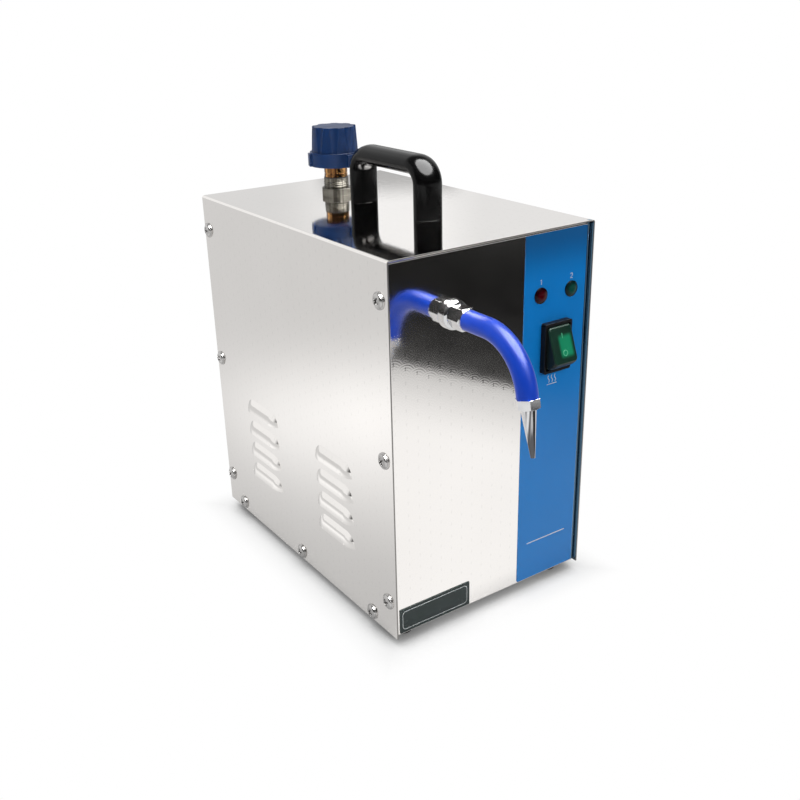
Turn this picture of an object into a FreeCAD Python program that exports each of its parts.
"""Bench steam cleaner for jewellery: a small boiler in a folded sheet casing.

Millimetres.  +X is the right-hand side, -Y the front, +Z up.  The origin is the
middle of the machine's own box at bench height.  Every formula below is written in
the casing's frame: x from the middle plane, y back from the cover's front rim and
z up from the cover's bottom edge; place() moves it to the part's frame.
"""
import FreeCAD
import Part
import math
import os
import re
import Sketcher

Vector = FreeCAD.Vector
Rotation = FreeCAD.Rotation

SIZES = {
    # casing: an inverted-U cover over a folded tray
    "cover_width": 190, "cover_depth": 290, "cover_height": 300, "sheet_gauge": 1,
    "cover_bend": 2, "tray_bend": 2, "panel_recess": 3, "fit_gap": 0.3, "flange_width": 16,
    # screws that hold the cover to the tray
    "screw_radius": 2.4, "screw_head_radius": 6.6, "screw_head_edge": 1, "screw_head_height": 3.2,
    "screw_length": 7, "hole_clearance": 0.15, "front_edge_inset": 11, "rear_edge_inset": 7.5,
    "low_row_height": 7.2, "low_row_pitch": 113, "low_row_shift": 2.5, "column_low": 29.5,
    "column_drop": 29.5, "thread_end": 1,
    # pressed louvres in both sides
    "louvre_length": 56, "louvre_rise": 12, "louvre_standoff": 4, "louvre_pitch": 21,
    "louvre_low": 52.7, "louvre_spacing": 120,
    # rubber feet
    "foot_height": 8, "foot_radius": 9, "foot_tip_radius": 8, "foot_inset_side": 18,
    "foot_inset_end": 20, "foot_recess_radius": 4.2, "foot_recess_depth": 4.5,
    "foot_screw_radius": 2, "foot_screw_head": 3.6, "foot_screw_head_height": 2.2,
    "foot_nut_flats": 7, "foot_nut_height": 3.2,
    # bridge handle
    "handle_pitch": 90, "handle_to_filler": 89.3, "handle_height": 48, "handle_width": 25,
    "handle_thickness": 15.8, "handle_bend": 14, "handle_screw_radius": 2.4,
    "handle_screw_head": 4.5, "handle_screw_head_height": 3, "handle_screw_length": 14,
    "handle_bore_depth": 17,
    # front panel film and plates
    "control_inset": 35, "film_left": 31.5, "film_right": 30.2, "film_thickness": 0.4, "film_corner": 1.5,
    "plate_width": 68.2, "plate_height": 21.5, "plate_margin": 4.5, "plate_thickness": 0.5,
    "plate_corner": 0.8,
    # indicator lamps
    "lamp_pitch": 31, "lamp_drop": 50.7, "lamp_radius": 6.3, "lamp_rim": 0.8,
    "lamp_dome": 2.6, "lamp_barrel": 4.9, "lamp_depth": 24, "lamp_nut_flats": 14,
    "lamp_nut_height": 3,
    # rocker switch
    "switch_below_lamp": 42.8, "switch_width": 27.5, "switch_tall": 40.5, "switch_proud": 5,
    "switch_body_width": 25.8, "switch_body_tall": 37.4, "switch_depth": 24,
    "rocker_width": 23.2, "rocker_face": 28, "rocker_reach": 10.7, "rocker_axis_proud": 1,
    "rocker_tilt": 20, "rocker_skirt": 6, "rocker_waist": 5, "rocker_hollow": 3,
    "rocker_clearance": 0.3, "rocker_round": 1.5, "rocker_corner": 2.6, "trunnion_radius": 1.5,
    "trunnion_length": 1, "running_clearance": 0.05, "blade_width": 6.3, "blade_gauge": 0.8,
    "blade_length": 8, "blade_pitch": 10,
    # filler and safety cap
    "filler_inset": 72, "neck_insertion": 4, "neck_radius": 10.5, "neck_height": 14.3, "neck_bore": 7.6,
    "neck_shoulder_radius": 14, "neck_shoulder_height": 3, "locknut_flats": 25,
    "locknut_height": 5.8, "seal_height": 1, "seal_radius": 10.2, "brass_radius": 10,
    "brass_height": 9.7, "groove_rise": 2.4, "groove_width": 1, "groove_depth": 0.8,
    "insert_drop": 8, "insert_stem_radius": 8, "insert_stem_height": 23,
    "chamber_radius": 5.5, "chamber_floor": 6, "insert_bore": 2.5, "cap_height": 32.5,
    "cap_flange_height": 11.5, "cap_flange_radius": 21.5, "cap_base_radius": 19.8,
    "cap_top_radius": 18.5, "cap_lug_root": 2, "cap_lug_drop": 1, "cap_lug_reach": 1.4,
    "cap_lug_width": 9, "cap_lugs": 3, "cap_lug_turn": 38,
    "flute_count": 9, "flute_radius": 6.5, "flute_depth": 1.9, "flute_taper": 7,
    "plug_radius": 5.2, "plug_height": 2, "plug_nose_radius": 2.2, "plug_nose_drop": 2,
    "plug_stem_radius": 1.5, "plug_stem_height": 8, "spring_wire": 0.8, "cap_spring_radius": 3.6,
    "cap_spring_turns": 5,
    # boiler
    "tank_radius": 59, "tank_wall": 1.5, "tank_bottom": 58, "tank_headroom": 50, "tank_dish": 12,
    "tank_crown_flat": 16, "tank_base_flat": 29, "heater_hole": 22, "socket_reach": 45,
    "socket_radius": 8, "socket_length": 15, "socket_rise": 2, "pad_reach": 38,
    "jacket_thickness": 7, "jacket_low": 66, "jacket_inset": 6, "band_gauge": 0.8,
    "band_width": 12, "band_inset": 24, "band_ear": 9,
    "stand_seat": 54, "stand_gauge": 2, "stand_lip": 8, "leg_width": 16, "leg_tab": 14,
    "leg_count": 3, "contact_gap": 0.2,
    # heater
    "heater_flats": 50, "heater_plug_height": 8, "heater_spigot": 6, "gasket_height": 1.5,
    "gasket_radius": 26, "element_radius": 4, "element_pitch": 24, "element_height": 105,
    "element_tail": 8, "sliding_clearance": 0.1,
    # cut-out and pressure switch on the boiler crown
    "cutout_radius": 7.5, "cutout_height": 5, "cutout_cap_radius": 5.5, "cutout_cap_height": 4,
    "gauge_stub_radius": 5, "gauge_stub_height": 12, "gauge_body_radius": 14,
    "gauge_body_height": 16,
    # steam pipes and valve
    "spout_offset": 38.5, "spout_drop": 48.4, "pipe_radius": 4, "pipe_bore": 2.8,
    "pipe_bend": 12, "pipe_insertion": 8, "steam_headroom": 24, "steam_step": 39,
    "valve_step": 43, "valve_drop": 51.5, "valve_inlet_rise": 5, "valve_outlet_drop": 4,
    "valve_length": 36, "valve_width": 26, "valve_tall": 26,
    "valve_orifice": 2, "coil_width": 30, "coil_height": 30, "core_radius": 6,
    "core_wall": 0.7, "core_height": 36, "plunger_height": 34, "plunger_travel": 2.5,
    "valve_spring_radius": 3.8, "valve_spring_turns": 4, "riser_inset": 43,
    # bulkhead and spout
    "bulkhead_radius": 6, "bulkhead_depth": 20, "collar_radius": 11, "collar_height": 5.2,
    "collar_round": 3, "bulkhead_nut_flats": 17, "bulkhead_nut_height": 5,
    "spout_nut_flats": 16, "spout_nut_height": 12, "ferrule_radius": 7.9, "ferrule_height": 1.1,
    "spout_run": 37.8, "spout_bend": 42.9, "spout_angle": 80, "spout_tail": 2.2,
    "sleeve_radius": 7.6, "nozzle_nut_flats": 15, "nozzle_nut_height": 7,
    "nozzle_radius": 5.5, "nozzle_tip_radius": 1.6, "nozzle_length": 34.4, "nozzle_bore": 0.7,
    "nozzle_shank": 4.8,
    # drain
    "drain_side": 35, "drain_back": 25, "drain_height": 28, "drain_pipe_radius": 5,
    "drain_shank_radius": 8, "drain_shank_length": 13, "drain_flange_radius": 12.5,
    "drain_flange_height": 5, "drain_body_radius": 11, "drain_body_length": 24,
    "drain_ball_radius": 7.4, "drain_bore": 3.5, "drain_barb_radius": 4.8,
    "drain_barb_length": 17, "drain_neck_height": 4, "drain_neck_radius": 5.5,
    "drain_stem_radius": 3, "drain_nut_flats": 22, "drain_nut_height": 5, "lever_length": 38,
    "lever_width": 11, "lever_gauge": 3, "lever_hub_radius": 7, "lever_rise": 2,
    # mains inlet, fuse and pedal socket in the rear wall
    "service_inset": 37, "inlet_height": 36, "inlet_flange_width": 50, "inlet_flange_tall": 25,
    "inlet_flange_height": 3, "inlet_body_width": 28, "inlet_body_tall": 20.5,
    "inlet_depth": 18, "inlet_mouth_width": 24.6, "inlet_mouth_tall": 16.6,
    "inlet_mouth_depth": 17, "inlet_corner": 4, "inlet_screw_pitch": 40,
    "inlet_screw_radius": 1.5, "inlet_screw_head": 3, "inlet_screw_head_height": 1.8,
    "inlet_screw_length": 9, "inlet_blade_pitch": 7, "inlet_blade_gauge": 2,
    "inlet_blade_width": 4, "inlet_blade_length": 13,
    "fuse_height": 72, "fuse_radius": 6.2, "fuse_clearance": 2, "fuse_rim_radius": 9,
    "fuse_rim_height": 2, "fuse_cap_radius": 7.5, "fuse_cap_height": 7, "fuse_stub_radius": 4,
    "fuse_stub_length": 10, "fuse_nut_flats": 17, "fuse_nut_height": 3, "fuse_slot": 1.6,
    "socket_height": 102, "socket_thread_radius": 7.9, "socket_depth": 14,
    "socket_flange_radius": 10.5, "socket_flange_height": 2, "socket_proud": 8,
    "socket_mouth": 6.6, "socket_mouth_depth": 8, "socket_pin_radius": 1,
    "socket_pin_pitch": 7.4, "socket_nut_flats": 20, "socket_nut_height": 3,
    # terminal block on the tray's floor
    "block_inset": 43, "block_setback": 70, "block_width": 44, "block_depth": 18,
    "block_height": 15, "block_cell": 9, "block_cells": 4, "block_cell_depth": 5,
    "block_rib": 1.5,
}

# places that follow from the sizes
PLACES = {
    "column_high": "cover_height - column_drop",
    "column_middle": "(column_low + column_high) / 2",
    "filler_setback": "cover_depth - filler_inset",
    "handle_setback": "filler_setback - handle_to_filler",
    "control_middle": "cover_width / 2 - control_inset",
    "service_side": "cover_width / 2 - service_inset",
    "block_side": "cover_width / 2 - block_inset",
    "plate_inset": "cover_width / 2 - plate_margin",
    "lamp_height": "cover_height - lamp_drop",
    "switch_height": "lamp_height - switch_below_lamp",
    "tank_length": "cover_height - tank_headroom - tank_dish - tank_bottom",
    "jacket_height": "tank_bottom + tank_length - jacket_inset - jacket_low",
    "jacket_radius": "tank_radius + jacket_thickness",
    "fuse_depth": "cover_depth - panel_recess - filler_setback"
                  " - sqrt((jacket_radius + fuse_clearance)^2 - (service_side - fuse_radius)^2)",
    "spout_height": "cover_height - spout_drop",
    "steam_run_height": "cover_height - steam_headroom",
    "valve_low": "spout_height - valve_drop - valve_tall / 2",
    "valve_high": "valve_low + valve_tall",
    "valve_inlet_height": "valve_low + valve_tall / 2 + valve_inlet_rise",
    "valve_outlet_height": "valve_low + valve_tall / 2 - valve_outlet_drop",
    "riser_setback": "panel_recess + riser_inset",
    "valve_setback": "riser_setback + valve_step",
    "steam_drop_setback": "valve_setback + steam_step",
}

doc = FreeCAD.newDocument("SteamCleaner")
sheet = doc.addObject("Spreadsheet::Sheet", "Sizes")
rows = {**SIZES, **{alias: "=" + formula for alias, formula in PLACES.items()}}
for row, (alias, content) in enumerate(rows.items(), start=1):
    sheet.set("A%d" % row, alias)
    sheet.set("B%d" % row, str(content))
    sheet.setAlias("B%d" % row, alias)
doc.recompute()

# planes and lines that several pieces share, as formulas of the sizes
SIDE = "(cover_width / 2)"
TRAY_SIDE = "(cover_width / 2 - sheet_gauge - fit_gap)"
TRAY_TOP = "(cover_height - sheet_gauge - fit_gap)"
PANEL = "panel_recess"
PANEL_BACK = "(panel_recess + sheet_gauge)"
REAR = "(cover_depth - panel_recess)"
REAR_INSIDE = "(cover_depth - panel_recess - sheet_gauge)"
FILM = "(panel_recess - film_thickness)"
SPOUT_REACH = ("(spout_run + spout_bend * sin(spout_angle) + (spout_tail + nozzle_nut_height"
               " + nozzle_length) * cos(spout_angle) + nozzle_tip_radius - panel_recess)")
DRAIN_REACH = "(drain_flange_height + drain_body_length + drain_barb_length)"
FRONT = "((%s - %s + panel_recess - cover_depth) / 2)" % (SPOUT_REACH, DRAIN_REACH)
NECK_TOP = "(cover_height + neck_height)"
CAP_BASE = "(cover_height + neck_height + seal_height + brass_height)"
TANK_TOP = "(tank_bottom + tank_length)"
CROWN = "(tank_bottom + tank_length + tank_dish)"
TANK_BASE = "(tank_bottom - tank_dish)"
SOCKET_TOP = "(tank_bottom + tank_length + tank_dish + socket_rise)"
ROCKER_RADIUS = "sqrt(pow(rocker_face / 2; 2) + pow(rocker_reach; 2))"
BALL = "(drain_flange_height + drain_body_length / 2)"

TO_FRONT = Rotation(Vector(1, 0, 0), 90)     # local +Z points out of the front panel
TO_REAR = Rotation(Vector(1, 0, 0), -90)     # local +Z points out of the rear wall
UPRIGHT = Rotation()


def bound(formula):
    """The formula with every size name pointing at the sheet."""
    return re.sub(r"[a-z_]+", lambda word: "Sizes." + word.group() if word.group() in rows
                  else word.group(), formula)


def value(formula):
    return float(sheet.evalExpression(bound(formula)))


def place(piece, x="0", y="0", z="0", turn=UPRIGHT):
    """Put a piece at a point of the casing's frame and keep it tied to the sizes."""
    piece.Placement = FreeCAD.Placement(Vector(), turn)
    piece.setExpression("Placement.Base.x", bound(x))
    piece.setExpression("Placement.Base.y", bound("%s + %s" % (FRONT, y)))
    piece.setExpression("Placement.Base.z", bound("foot_height + %s" % z))


def new_body(label, x="0", y="0", z="0", turn=UPRIGHT):
    body = doc.addObject("PartDesign::Body", label)
    body.Label = label
    place(body, x, y, z, turn)
    return body


def sketch_on(body, plane, offset="0"):
    """An empty sketch on one of the body's origin planes, moved along the plane's normal."""
    sketch = body.newObject("Sketcher::SketchObject", body.Label + "_sketch")
    origin = [item for item in body.Origin.OriginFeatures if item.Role == plane + "_Plane"]
    sketch.AttachmentSupport = [(origin[0], "")]
    sketch.MapMode = "FlatFace"
    sketch.setExpression("AttachmentOffset.Base.z", bound(offset))
    return sketch


def tie(sketch, kind, geometry, point, formula):
    """Fix one coordinate of a sketch point to a formula."""
    number = sketch.addConstraint(
        Sketcher.Constraint(kind, -1, 1, geometry, point, value(formula)))
    sketch.setExpression("Constraints[%d]" % number, bound(formula))


def arc_between(start, end, radius):
    """The short arc from start to end; a positive radius turns left, a negative one right."""
    half = (end - start) * 0.5
    across = Vector(-half.y, half.x, 0).normalize()
    rise = math.sqrt(max(radius * radius - half.Length ** 2, 0))
    centre = start + half + across * math.copysign(rise, radius)
    if radius < 0:
        start, end = end, start
    first = math.atan2(start.y - centre.y, start.x - centre.x)
    last = math.atan2(end.y - centre.y, end.x - centre.x)
    return Part.ArcOfCircle(Part.Circle(centre, Vector(0, 0, 1), abs(radius)), first, last)


def path(sketch, points, closed=True):
    """Join points (x, y) or (x, y, radius of the arc that leaves the point)."""
    corners = [Vector(value(point[0]), value(point[1]), 0) for point in points]
    count = len(points) if closed else len(points) - 1
    ends = []
    for index in range(count):
        start, end = corners[index], corners[(index + 1) % len(points)]
        if len(points[index]) == 3:
            radius = value(points[index][2])
            line = sketch.addGeometry(arc_between(start, end, radius), False)
            number = sketch.addConstraint(Sketcher.Constraint("Radius", line, abs(radius)))
            sketch.setExpression("Constraints[%d]" % number, bound("abs(%s)" % points[index][2]))
            ends.append((line, 1, 2) if radius > 0 else (line, 2, 1))
        else:
            line = sketch.addGeometry(Part.LineSegment(start, end), False)
            ends.append((line, 1, 2))
    for index, (line, start, end) in enumerate(ends):
        if closed or index + 1 < count:
            following = ends[(index + 1) % count]
            sketch.addConstraint(Sketcher.Constraint("Coincident", line, end, following[0],
                                                     following[1]))
        tie(sketch, "DistanceX", line, start, points[index][0])
        tie(sketch, "DistanceY", line, start, points[index][1])
    if not closed:
        line, start, end = ends[-1]
        tie(sketch, "DistanceX", line, end, points[-1][0])
        tie(sketch, "DistanceY", line, end, points[-1][1])
    return sketch


def box_path(sketch, left, low, right, high):
    return path(sketch, [(left, low), (right, low), (right, high), (left, high)])


def middle_box(sketch, x, y, width, height):
    """A rectangle given by its middle."""
    return box_path(sketch, "%s - %s / 2" % (x, width), "%s - %s / 2" % (y, height),
                    "%s + %s / 2" % (x, width), "%s + %s / 2" % (y, height))


def circle(sketch, x, y, radius):
    line = sketch.addGeometry(
        Part.Circle(Vector(value(x), value(y), 0), Vector(0, 0, 1), value(radius)), False)
    tie(sketch, "DistanceX", line, 3, x)
    tie(sketch, "DistanceY", line, 3, y)
    number = sketch.addConstraint(Sketcher.Constraint("Radius", line, value(radius)))
    sketch.setExpression("Constraints[%d]" % number, bound(radius))
    return sketch


def hexagon(sketch, flats):
    """A hexagon round the sketch's origin with corners on its x axis."""
    corner, half = "%s / sqrt(3)" % flats, "%s / 2" % flats
    middle = "%s / sqrt(12)" % flats
    return path(sketch, [(corner, "0"), (middle, half), ("-" + middle, half),
                         ("-" + corner, "0"), ("-" + middle, "-" + half), (middle, "-" + half)])


def feature(body, kind, sketch, length=None, back=False, both=False, through=False):
    """A pad or pocket of a sketch; a pocket that removes nothing is an error."""
    before = body.Shape.Volume if body.Tip else 0
    item = body.newObject("PartDesign::" + kind, body.Label + "_" + kind.lower())
    item.Profile = sketch
    item.Reversed = back
    if both:
        item.SideType = "Symmetric"
    if through:
        item.Type = "ThroughAll"
    else:
        item.setExpression("Length", bound(length))
    doc.recompute()
    if kind == "Pocket" and body.Shape.Volume > before - 1e-6:
        raise ValueError("%s: a pocket cuts nothing" % body.Label)
    return item


def pad(body, sketch, length, back=False, both=False):
    return feature(body, "Pad", sketch, length, back, both)


def pocket(body, sketch, length=None, back=False, both=False):
    return feature(body, "Pocket", sketch, length, back, both, through=length is None)


def revolve(body, profile, angle=360, back=False, sketch=None, axis="V_Axis", kind="Revolution"):
    """Turn a profile of (radius, height) points about the body's Z axis."""
    if sketch is None:
        sketch = path(sketch_on(body, "XZ"), profile)
    item = body.newObject("PartDesign::" + kind, body.Label + "_turned")
    item.Profile = sketch
    item.ReferenceAxis = (sketch, [axis])
    item.Angle = angle
    item.Reversed = back
    doc.recompute()
    return item


def turned(label, profile, x="0", y="0", z="0", turn=UPRIGHT):
    body = new_body(label, x, y, z, turn)
    revolve(body, profile)
    return body


def tube_profile(inner, outer, low, high):
    return [(inner, low), (outer, low), (outer, high), (inner, high)]


def round_edges(body, radius, chosen, kind="Fillet"):
    """Round the edges of the tip that the test picks by their ends."""
    base = body.Tip
    names = ["Edge%d" % number for number, edge in enumerate(base.Shape.Edges, start=1)
             if chosen(edge)]
    if not names:
        raise ValueError("%s: no edge to round" % body.Label)
    item = body.newObject("PartDesign::" + kind, body.Label + "_" + kind.lower())
    item.Base = (base, names)
    item.setExpression("Radius" if kind == "Fillet" else "Size", bound(radius))
    doc.recompute()
    return item


def sweep(body, section, spine):
    """Carry a section along every line of a spine sketch."""
    item = body.newObject("PartDesign::AdditivePipe", body.Label + "_pipe")
    item.Profile = section
    item.Spine = (spine, ["Edge%d" % number for number in range(1, spine.GeometryCount + 1)])
    doc.recompute()
    return item


def pattern(body, features, axis_sketch, count):
    """Repeat features evenly round the body's Z axis."""
    item = body.newObject("PartDesign::PolarPattern", body.Label + "_pattern")
    item.Originals = features
    item.Axis = (axis_sketch, ["N_Axis"])
    item.Angle = 360
    item.setExpression("Occurrences", bound(count))
    body.Tip = item
    doc.recompute()
    return item


def along(edge, axis):
    """True for a straight edge that runs along an axis."""
    if edge.Degenerated or not isinstance(edge.Curve, Part.Line):
        return False
    return abs(abs(edge.tangentAt(edge.FirstParameter).dot(axis)) - 1) < 1e-6


def at_height(edge, formula, coordinate="z"):
    """True for an edge that lies in a plane of the body's own frame."""
    level = value(formula)
    box = edge.BoundBox
    low, high = {"x": (box.XMin, box.XMax), "y": (box.YMin, box.YMax),
                 "z": (box.ZMin, box.ZMax)}[coordinate]
    return abs(low - level) < 1e-4 and abs(high - level) < 1e-4


def group(label, copies):
    """One node of separate solids: copies of forms at (form, x, y, z, turn)."""
    links = []
    for form, x, y, z, turn in copies:
        link = doc.addObject("App::Link", label + "_copy")
        link.LinkedObject = form
        link.LinkTransform = False
        place(link, x, y, z, turn)
        links.append(link)
    compound = doc.addObject("Part::Compound", label)
    compound.Label = label
    compound.Links = links
    return compound


def add_nut(body, flats, height, bore, offset="0"):
    """A hexagon nut with its corners turned off, on the body's Z axis."""
    sketch = hexagon(sketch_on(body, "XY", offset), flats)
    circle(sketch, "0", "0", bore)
    pad(body, sketch, height)
    corner = "(%s / sqrt(3))" % flats
    drop = "(%s / sqrt(3) - %s / 2)" % (flats, flats)
    groove = path(sketch_on(body, "XZ"), [
        ("%s - %s" % (corner, drop), "%s + %s" % (offset, height)),
        ("%s + 1" % corner, "%s + %s - (%s + 1) / 2" % (offset, height, drop)),
        ("%s + 1" % corner, "%s + %s" % (offset, height))])
    revolve(body, None, sketch=groove, kind="Groove")
    return body


def screw_form(label, radius, head, head_height, length):
    """A pan-head screw: the head's underside is at z = 0 and the shank points down."""
    return turned(label, [("0", "-" + length), (radius, "-" + length), (radius, "0"),
                          (head, "0"), (head, "%s / 3" % head_height,
                                        "(pow(%s; 2) + pow(%s * 2 / 3; 2)) / (%s * 4 / 3)"
                                        % (head, head_height, head_height)),
                          ("0", head_height)])


# ---------------------------------------------------------------- casing

def louvre_form(label, reach, radius, root):
    """A half-round pressed hood; x is out of the wall and z up from the lip."""
    top = "sqrt(pow(%s; 2) - pow(%s - %s - %s; 2))" % (radius, radius, reach, root)
    profile = [("-" + root, "0"), (reach, "0", radius), ("-" + root, top)]
    straight = "(louvre_length - 2 * louvre_rise)"
    form = new_body(label)
    pad(form, path(sketch_on(form, "XZ"), profile), straight, both=True)
    for side, back in (("", False), ("-", True)):
        end = path(sketch_on(form, "XZ", "%s%s / 2" % (side, straight)), profile)
        revolve(form, None, angle=90, back=back, sketch=end, axis="H_Axis")
    return form


def side_screw_places():
    """(y, z) of the nine screws in each side of the cover."""
    back = "(cover_depth - rear_edge_inset)"
    middle = "(cover_depth / 2 + low_row_shift)"
    places = [(y, z) for y in ("front_edge_inset", back)
              for z in ("column_low", "column_middle", "column_high")]
    return places + [(y, "low_row_height") for y in
                     (middle + " - low_row_pitch", middle, middle + " + low_row_pitch")]


def louvre_places():
    middle = "(cover_depth / 2)"
    rows = range(4)
    return [(middle + column, "(louvre_low + %d * louvre_pitch)" % row)
            for column in (" - louvre_spacing / 2", " + louvre_spacing / 2") for row in rows]


def make_cover():
    skin = new_body("cover_sheet")
    inside = "(cover_width / 2 - sheet_gauge)"
    profile = path(sketch_on(skin, "XZ"), [
        ("-" + SIDE, "0"), ("-" + inside, "0"), ("-" + inside, "cover_height - sheet_gauge"),
        (inside, "cover_height - sheet_gauge"), (inside, "0"), (SIDE, "0"),
        (SIDE, "cover_height"), ("-" + SIDE, "cover_height")])
    pad(skin, profile, "cover_depth", back=True)
    lengthwise = Vector(0, 1, 0)
    round_edges(skin, "cover_bend", lambda edge: along(edge, lengthwise)
                and at_height(edge, "cover_height"))
    round_edges(skin, "cover_bend - sheet_gauge", lambda edge: along(edge, lengthwise)
                and at_height(edge, "cover_height - sheet_gauge"))
    holes = sketch_on(skin, "YZ")
    for y, z in side_screw_places():
        circle(holes, y, z, "screw_radius + hole_clearance")
    pocket(skin, holes, both=True)
    top = sketch_on(skin, "XY", "cover_height + 1")
    circle(top, "0", "filler_setback", "neck_radius + hole_clearance")
    for y in HANDLE_LEGS:
        circle(top, "0", y, "handle_screw_radius + hole_clearance")
    pocket(skin, top, "2 + sheet_gauge")

    radius = "(pow(louvre_rise; 2) + pow(louvre_standoff; 2)) / (2 * louvre_standoff)"
    hood = louvre_form("louvre_hood", "louvre_standoff", "(%s)" % radius, "0.6 * sheet_gauge")
    hollow = louvre_form("louvre_hollow", "(louvre_standoff - sheet_gauge)",
                         "(%s - sheet_gauge)" % radius, "(sheet_gauge + 0.5)")
    outward = [(SIDE, UPRIGHT), ("-" + SIDE, Rotation(Vector(0, 0, 1), 180))]
    copies = {form: [(form, x, y, z, turn) for x, turn in outward for y, z in louvre_places()]
              for form in (hood, hollow)}
    pressed = doc.addObject("Part::Fuse", "cover_pressed")
    pressed.Base = skin
    pressed.Tool = group("louvre_hoods", copies[hood])
    cover = doc.addObject("Part::Cut", "cover")
    cover.Base = pressed
    cover.Tool = group("louvre_hollows", copies[hollow])
    return cover


HANDLE_LEGS = ("(handle_setback - handle_pitch / 2)", "(handle_setback + handle_pitch / 2)")


def make_chassis():
    """Floor, front and rear folded from one sheet, with flanges for the cover's screws."""
    tray = new_body("chassis")
    floor = box_path(sketch_on(tray, "XY"), "-" + TRAY_SIDE, PANEL, TRAY_SIDE, REAR)
    pad(tray, floor, TRAY_TOP)
    round_edges(tray, "tray_bend", lambda edge: True)
    inner = box_path(sketch_on(tray, "YZ"), PANEL_BACK, "sheet_gauge", REAR_INSIDE,
                     TRAY_TOP + " - sheet_gauge")
    pocket(tray, inner, "2 * (%s - sheet_gauge)" % TRAY_SIDE, both=True)
    hollow = FreeCAD.BoundBox(-value(TRAY_SIDE) + 0.5, value(PANEL_BACK) - 0.01,
                              value("sheet_gauge") - 0.01, value(TRAY_SIDE) - 0.5,
                              value(REAR_INSIDE) + 0.01, value(TRAY_TOP + " - sheet_gauge") + 0.01)
    round_edges(tray, "tray_bend - sheet_gauge", lambda edge: not edge.Degenerated
                and hollow.isInside(edge.BoundBox))
    window = box_path(sketch_on(tray, "YZ"), PANEL + " + flange_width", "flange_width",
                      REAR + " - flange_width", "cover_height")
    pocket(tray, window, both=True)

    flange_holes = sketch_on(tray, "YZ")
    for y, z in side_screw_places():
        circle(flange_holes, y, z, "screw_radius + hole_clearance")
    pocket(tray, flange_holes, both=True)

    front = sketch_on(tray, "XZ")
    circle(front, "-spout_offset", "spout_height", "bulkhead_radius + hole_clearance")
    for side in ("-", "+"):
        circle(front, "control_middle %s lamp_pitch / 2" % side, "lamp_height",
               "lamp_barrel + hole_clearance")
    middle_box(front, "control_middle", "switch_height", "(switch_body_width + 2 * hole_clearance)",
               "(switch_body_tall + 2 * hole_clearance)")
    pocket(tray, front, PANEL_BACK + " + 1")

    rear = sketch_on(tray, "XZ", "-(cover_depth)")
    circle(rear, "-drain_side", "drain_height", "drain_shank_radius + hole_clearance")
    circle(rear, "service_side", "fuse_height", "fuse_radius + hole_clearance")
    circle(rear, "service_side", "socket_height", "socket_thread_radius + hole_clearance")
    middle_box(rear, "service_side", "inlet_height", "(inlet_body_width + 2 * hole_clearance)",
               "(inlet_body_tall + 2 * hole_clearance)")
    for side in ("-", "+"):
        circle(rear, "service_side %s inlet_screw_pitch / 2" % side, "inlet_height",
               "inlet_screw_radius + hole_clearance")
    pocket(tray, rear, "panel_recess + sheet_gauge + 1", back=True)

    base = sketch_on(tray, "XY", "sheet_gauge + 1")
    for x, y in foot_places():
        circle(base, x, y, "foot_screw_radius + hole_clearance")
    for x, y in leg_places():
        circle(base, x, y, "foot_screw_radius + hole_clearance")
    pocket(tray, base, "sheet_gauge + 2")
    return tray


def foot_places():
    side = "(cover_width / 2 - foot_inset_side)"
    return [(x, y) for x in ("-" + side, side)
            for y in ("foot_inset_end", "(cover_depth - foot_inset_end)")]


LEG_SCREW = "(stand_seat - stand_gauge - leg_tab / 2)"


def leg_places():
    """Screws through the tabs of the boiler stand, the first leg at the rear."""
    return [("%s * cos(%d)" % (LEG_SCREW, angle), "filler_setback + %s * sin(%d)" % (LEG_SCREW, angle))
            for angle in (90, 210, 330)]


def make_fasteners():
    cover_screw = screw_form("cover_screw_form", "screw_radius", "screw_head_radius",
                             "screw_head_height", "screw_length")
    small_screw = screw_form("small_screw_form", "foot_screw_radius", "foot_screw_head",
                             "foot_screw_head_height",
                             "(foot_height - foot_recess_depth + sheet_gauge + stand_gauge"
                             " + foot_nut_height + thread_end)")
    leg_screw = screw_form("leg_screw_form", "foot_screw_radius", "foot_screw_head",
                           "foot_screw_head_height",
                           "(sheet_gauge + stand_gauge + foot_nut_height + thread_end)")
    nut = new_body("small_nut_form")
    add_nut(nut, "foot_nut_flats", "foot_nut_height", "foot_screw_radius + sliding_clearance")
    to_right, to_left = Rotation(Vector(0, 1, 0), 90), Rotation(Vector(0, 1, 0), -90)
    head_down = Rotation(Vector(1, 0, 0), 180)
    group("cover_screws", [(cover_screw, x, y, z, turn)
                           for x, turn in ((SIDE, to_right), ("-" + SIDE, to_left))
                           for y, z in side_screw_places()])
    group("foot_screws",
          [(small_screw, x, y, "foot_recess_depth - foot_height", head_down)
           for x, y in foot_places()]
          + [(nut, x, y, "sheet_gauge", UPRIGHT) for x, y in foot_places()])
    group("stand_screws",
          [(leg_screw, x, y, "0", head_down) for x, y in leg_places()]
          + [(nut, x, y, "sheet_gauge + stand_gauge", UPRIGHT) for x, y in leg_places()])


def make_feet():
    foot = turned("foot_form", [
        ("foot_screw_radius + hole_clearance", "foot_recess_depth"),
        ("foot_recess_radius", "foot_recess_depth"), ("foot_recess_radius", "0"),
        ("foot_tip_radius", "0"), ("foot_radius", "foot_height"),
        ("foot_screw_radius + hole_clearance", "foot_height")])
    group("feet", [(foot, x, y, "-foot_height", UPRIGHT) for x, y in foot_places()])


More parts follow.
